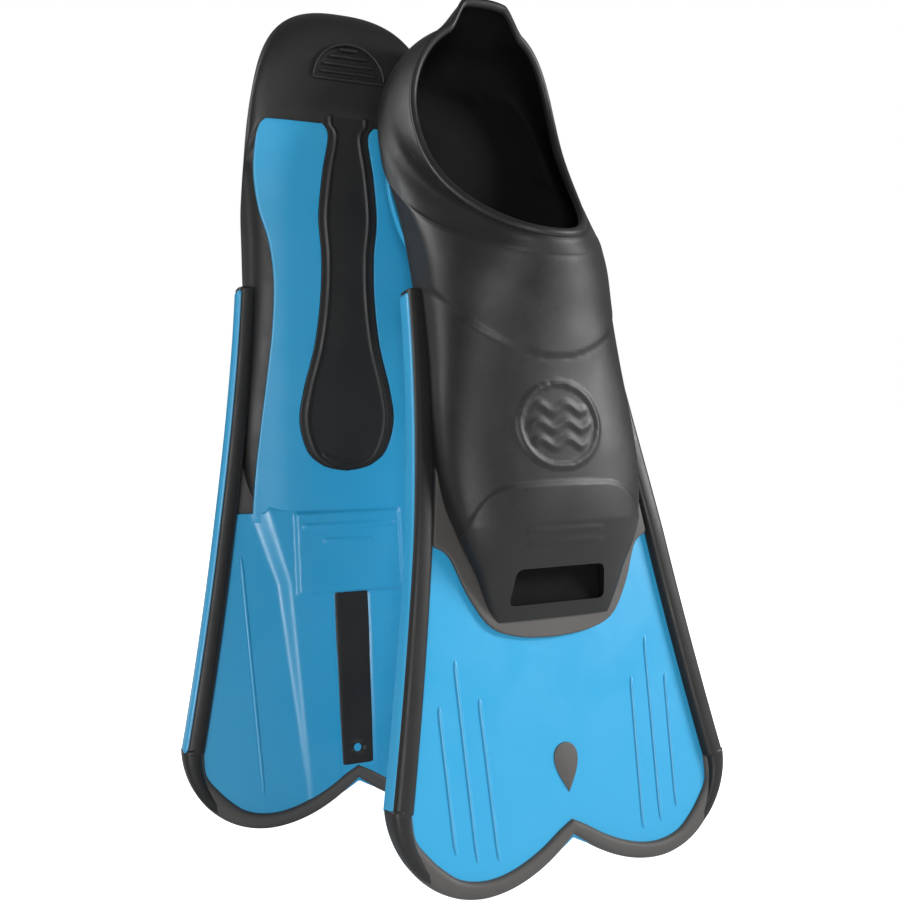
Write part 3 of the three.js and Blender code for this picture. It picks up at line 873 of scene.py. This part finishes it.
def toeApron(side):
    edge = smoothTable(apron["outline"], apron["edgeSteps"])
    upper = [(railInner(z) - apron["railGap"], z)
             for z in np.linspace(apron["railFrom"], apron["top"], apron["railSteps"])]
    right = [*map(tuple, edge[1:]), *upper, *apron["inner"]]
    left = [(-x, z) for x, z in reversed(right)]
    low, high = fin["webHalf"] + apron["lift"], fin["webHalf"] + apron["thickness"]
    outline = [(0, edge[0][1]), *right, (0, apron["slotEdge"]), *left]
    points = [(x, d, z) for d in (low, high) for x, z in outline]
    count = len(outline)
    faces = gridFaces(2, count, True) + [tuple(range(count)), tuple(range(2 * count - 1, count - 1, -1))]
    piece = makeObject(side + "_toe_skirt", side, points, faces, greyRubber)
    bevelEdges(piece, *apron["bevel"])
    flat = piece.modifiers.new("flat", "WEIGHTED_NORMAL")
    flat.keep_sharp = True
    bakeModifiers(piece)
    return onFin(piece, side, "grey_rubber", "toe_apron")


# The heel grip: an arched border and cross bars as (distance up the sole, half-length).
grip = {"radius": 19, "height": 18, "base": 222, "steps": 40,
        "bars": [(225.5, 15.5), (229.5, 14), (233.5, 10.5), (237, 5)],
        "ribRadius": 0.95, "borderLift": -1.0, "barLift": -0.9}


def heelGrip(side):
    rim = [(grip["radius"] * math.cos(a), grip["base"] + grip["height"] * math.sin(a))
           for a in np.linspace(0, math.pi, grip["steps"])]
    border = [tuple(onSolePlane(x, grip["borderLift"], s)) for x, s in rim]
    lines = [border + border[:1]]
    for s, half in grip["bars"]:
        lines.append([tuple(onSolePlane(x, grip["barLift"], s)) for x in (-half, half)])
    piece = nodeRibs(side + "_heel_grip_ribs", side, lines, grip["ribRadius"], blackRubber, 1.0)
    return onFin(piece, side, "black_rubber", "heel_grip")


trim = {"half": 3.6, "inner": [(0, 25.2), (7, 21.6), (19, 14.6), (33, 9.2), (46, 7.5), (58, 10), (67, 16.5),
                               (73.5, 23.5), (77, 28.2), (78.4, 33), (78.5, 43)],
        "rows": 90, "lobeSteps": 40, "cornerSteps": 50, "sections": 28, "squareAcross": 3.2,
        "squareThrough": 2.6}


def tipTrim(side):
    lobe = [(x, float(tipEdge(np.array(x), 0))) for x in np.linspace(0, fin["tipCentre"], trim["lobeSteps"])]
    corner = [(fin["tipCentre"] + fin["lobeRadius"] * math.sin(a), fin["lobeRadius"] * (1 - math.cos(a)))
              for a in np.linspace(0, math.pi / 2, trim["cornerSteps"])[1:]]
    edges = []
    for edge in (np.array(lobe + corner), smoothTable(trim["inner"], trim["rows"])):
        half = evenly(edge, trim["rows"])
        edges.append(np.concatenate([half[::-1] * [-1, 1], half[1:]]))
    angles = fullTurn(trim["sections"])
    c = power(np.cos(angles), 2 / trim["squareAcross"])
    s = power(np.sin(angles), 2 / trim["squareThrough"])
    rings = []
    for outer, inner in zip(*edges):
        middle, reach = (outer + inner) / 2, (outer - inner) / 2
        rings.append(np.stack([middle[0] + reach[0] * c, trim["half"] * s, middle[1] + reach[1] * c], 1))
    piece = makeObject(side + "_tip_edge", side, *sweep(rings), greyRubber)
    return onBlade(piece, side, "grey_rubber", "tip_trim")


cap = {"turn": 64, "widthTop": 10.4, "widthEnd": 3.6, "widthCurve": 0.8, "halfTop": 6.5, "halfEnd": 2.9,
       "proud": 0.4, "dive": 1.3, "diveFrom": 0.65, "lift": 0.8, "endFull": 0.35, "endFrom": 0.9,
       "endLength": 0.1, "rows": 30, "sections": 28, "squareAcross": 3.4, "squareThrough": 3}


def cornerCap(side, hand):
    # the end of a rail, wrapped round the blade's outer corner and let into the tip edge
    angles = fullTurn(cap["sections"])
    rings = []
    for t in np.linspace(0, 1, cap["rows"]):
        turn = math.radians(cap["turn"]) * t
        width = cap["widthTop"] + (cap["widthEnd"] - cap["widthTop"]) * t ** cap["widthCurve"]
        half = cap["halfTop"] + (cap["halfEnd"] - cap["halfTop"]) * ease(0.0, 1.0, t)
        pastEnd = max(0.0, (t - cap["endFrom"]) / cap["endLength"])
        shrink = min(1.0, cap["endFull"] + (1 - cap["endFull"]) * math.sqrt(max(0.0, 1 - pastEnd ** 2)))
        radius = fin["lobeRadius"] + cap["proud"] - cap["dive"] * ease(cap["diveFrom"], 1, t) - width / 2
        reach = width / 2 * shrink * power(np.cos(angles), 2 / cap["squareAcross"])
        across = fin["tipCentre"] + (radius + reach) * math.cos(turn)
        low = fin["lobeRadius"] + cap["lift"] - (radius + reach) * math.sin(turn)
        through = half * shrink * power(np.sin(angles), 2 / cap["squareThrough"])
        rings.append(np.stack([hand * across, through, low], 1))
    piece = makeObject(f"{side}_{handWord[hand]}_corner_cap", side, *sweep(rings), blackRubber)
    return onBlade(piece, side, "black_rubber")


strip = {"low": 25, "high": 117, "lowHalf": 8.4, "highHalf": 9.6, "root": 0.6, "sink": 0.1,
         "faceHeights": [12, 121], "faceRise": [0.5, 3.2], "rows": 60, "sections": 32, "square": 7,
         "endRound": 1.5, "holeHeight": 34, "holeRadius": 2.1, "holeSides": 24, "holeReach": (-12, -1.5)}


def centreStrip(side):
    def width(z):
        return np.interp(z, [strip["low"], strip["high"]], [strip["lowHalf"], strip["highHalf"]])

    def face(z):
        return -fin["webHalf"] - np.interp(z, strip["faceHeights"], strip["faceRise"]) + strip["sink"]

    heights = np.linspace(strip["low"], strip["high"], strip["rows"])
    points, faces = barRings(lambda z: -width(z), width, face, lambda z: -fin["webHalf"] + strip["root"],
                             heights, strip["sections"], strip["square"], strip["endRound"])
    piece = makeObject(side + "_centre_rib", side, points, faces, blackRubber)
    hole = [(strip["holeRadius"] * math.cos(a), strip["holeHeight"] + strip["holeRadius"] * math.sin(a))
            for a in fullTurn(strip["holeSides"])]
    rings = [[(x, d, z) for x, z in hole] for d in strip["holeReach"]]
    cutAway(piece, makeObject(side + "_holeCutter", side, *sweep(rings), blackRubber))
    return bending(piece, side, "black_rubber", "centre_strip")


# each step is a share of the rise and the size of the drop there
badge = {"centre": 48, "half": 8.5, "height": 22, "rise": 0.7, "sink": 0.05, "point": 1.2, "rows": 60,
         "steps": ((0, 1.0), (0.7, 1.0), (1.0, 0.93))}


def bladeBadge(side):
    # a plain water drop, standing on its point
    angles = fullTurn(badge["rows"])
    x = badge["half"] * np.sin(angles) * np.sin(angles / 2) ** badge["point"]
    z = badge["centre"] - badge["height"] / 2 * np.cos(angles)
    levels = [(fin["webHalf"] + badge["rise"] * share - badge["sink"], scale)
              for share, scale in badge["steps"]]
    rings = [[(a * scale, d, badge["centre"] + (b - badge["centre"]) * scale) for a, b in zip(x, z)]
             for d, scale in levels]
    piece = makeObject(side + "_blade_drop", side, *sweep(rings), greyRubber)
    return onBlade(piece, side, "grey_rubber", "blade_badge")


for side in sides:
    bladeWeb(side)
    for hand in (1, -1):
        sideStrip(side, hand)
        sideRail(side, hand)
        cornerCap(side, hand)
    bladeRibs(side)
    soleArms(side)
    solePad(side)
    print(side, "blade and sole made")
    footPocket(side)
    toeApron(side)
    heelGrip(side)
    tipTrim(side)
    centreStrip(side)
    bladeBadge(side)
    print(side, "rubber pieces made")


shot = {"back": (-263, -385.3, 213), "turn": -27.3, "down": 2.55, "lens": 41.8, "sensor": 36, "near": 0.01}
camera = addObject("camera", bpy.data.cameras.new("camera"))
camera.data.sensor_width, camera.data.lens = shot["sensor"], shot["lens"]
camera.data.clip_start = shot["near"]
camera.location = axesOf["right"][0] + Vector(shot["back"]) * mm
camera.rotation_euler = (math.radians(90 - shot["down"]), 0, math.radians(shot["turn"]))
bpy.context.scene.camera = camera

white = (1, 1, 1, 1)
floorLook = {"reach": 20, "height": -0.0005, "shade": (0.92, 0.92, 0.92, 1), "roughness": 0.7}


def plainFloor():
    # its white glow is for the camera only and lights nothing
    material = bpy.data.materials.new("paleFloor")
    material.use_nodes = True
    shader = material.node_tree.nodes["Principled BSDF"]
    shader.inputs["Base Color"].default_value = floorLook["shade"]
    shader.inputs["Roughness"].default_value = floorLook["roughness"]
    shader.inputs["Emission Color"].default_value = white
    path = addNode(material.node_tree, "ShaderNodeLightPath")
    material.node_tree.links.new(path.outputs["Is Camera Ray"], shader.inputs["Emission Strength"])
    mesh = bpy.data.meshes.new("floor")
    reach = floorLook["reach"]
    mesh.from_pydata([(-reach, -reach, 0), (reach, -reach, 0), (reach, reach, 0), (-reach, reach, 0)], [],
                     [(0, 1, 2, 3)])
    mesh.materials.append(material)
    floor = addObject("floor", mesh)
    floor.location.z = floorLook["height"]


# places in metres, size as the side of the square lamp in metres
lamps = {"keyLight": {"place": (1.15, -0.85, 0.75), "aim": (0, 0, 0.2), "size": 0.5, "watts": 26},
         "fillLight": {"place": (-0.9, -1.7, 0.3), "aim": (-0.05, 0, 0.2), "size": 0.5, "watts": 21},
         "rimLight": {"place": (-1.3, 0.6, 1.0), "aim": (0, 0, 0.3), "size": 0.5, "watts": 14}}
worldGlow = {"lit": 0.12, "seen": 1.0}


def softLight(name, place, aim, size, watts):
    data = bpy.data.lights.new(name, "AREA")
    data.shape, data.size, data.energy = "SQUARE", size, watts
    lamp = addObject(name, data)
    lamp.location = place
    lamp.rotation_euler = (Vector(aim) - Vector(place)).to_track_quat("-Z", "Y").to_euler()


def paleWorld():
    # weak light on the object, plain white to the camera
    world = bpy.data.worlds.new("studio")
    world.use_nodes = True
    tree = world.node_tree
    lit = tree.nodes["Background"]
    lit.inputs["Color"].default_value = white
    lit.inputs["Strength"].default_value = worldGlow["lit"]
    plain = addNode(tree, "ShaderNodeBackground", {"Color": white, "Strength": worldGlow["seen"]})
    path = addNode(tree, "ShaderNodeLightPath")
    both = addNode(tree, "ShaderNodeMixShader", (), {0: path.outputs["Is Camera Ray"],
                                                     1: lit.outputs[0], 2: plain.outputs[0]})
    tree.links.new(both.outputs[0], tree.nodes["World Output"].inputs["Surface"])
    bpy.context.scene.world = world


plainFloor()
for name, lamp in lamps.items():
    softLight(name, **lamp)
paleWorld()
bpy.context.scene.view_settings.view_transform = "Standard"
print("camera, floor and light made")
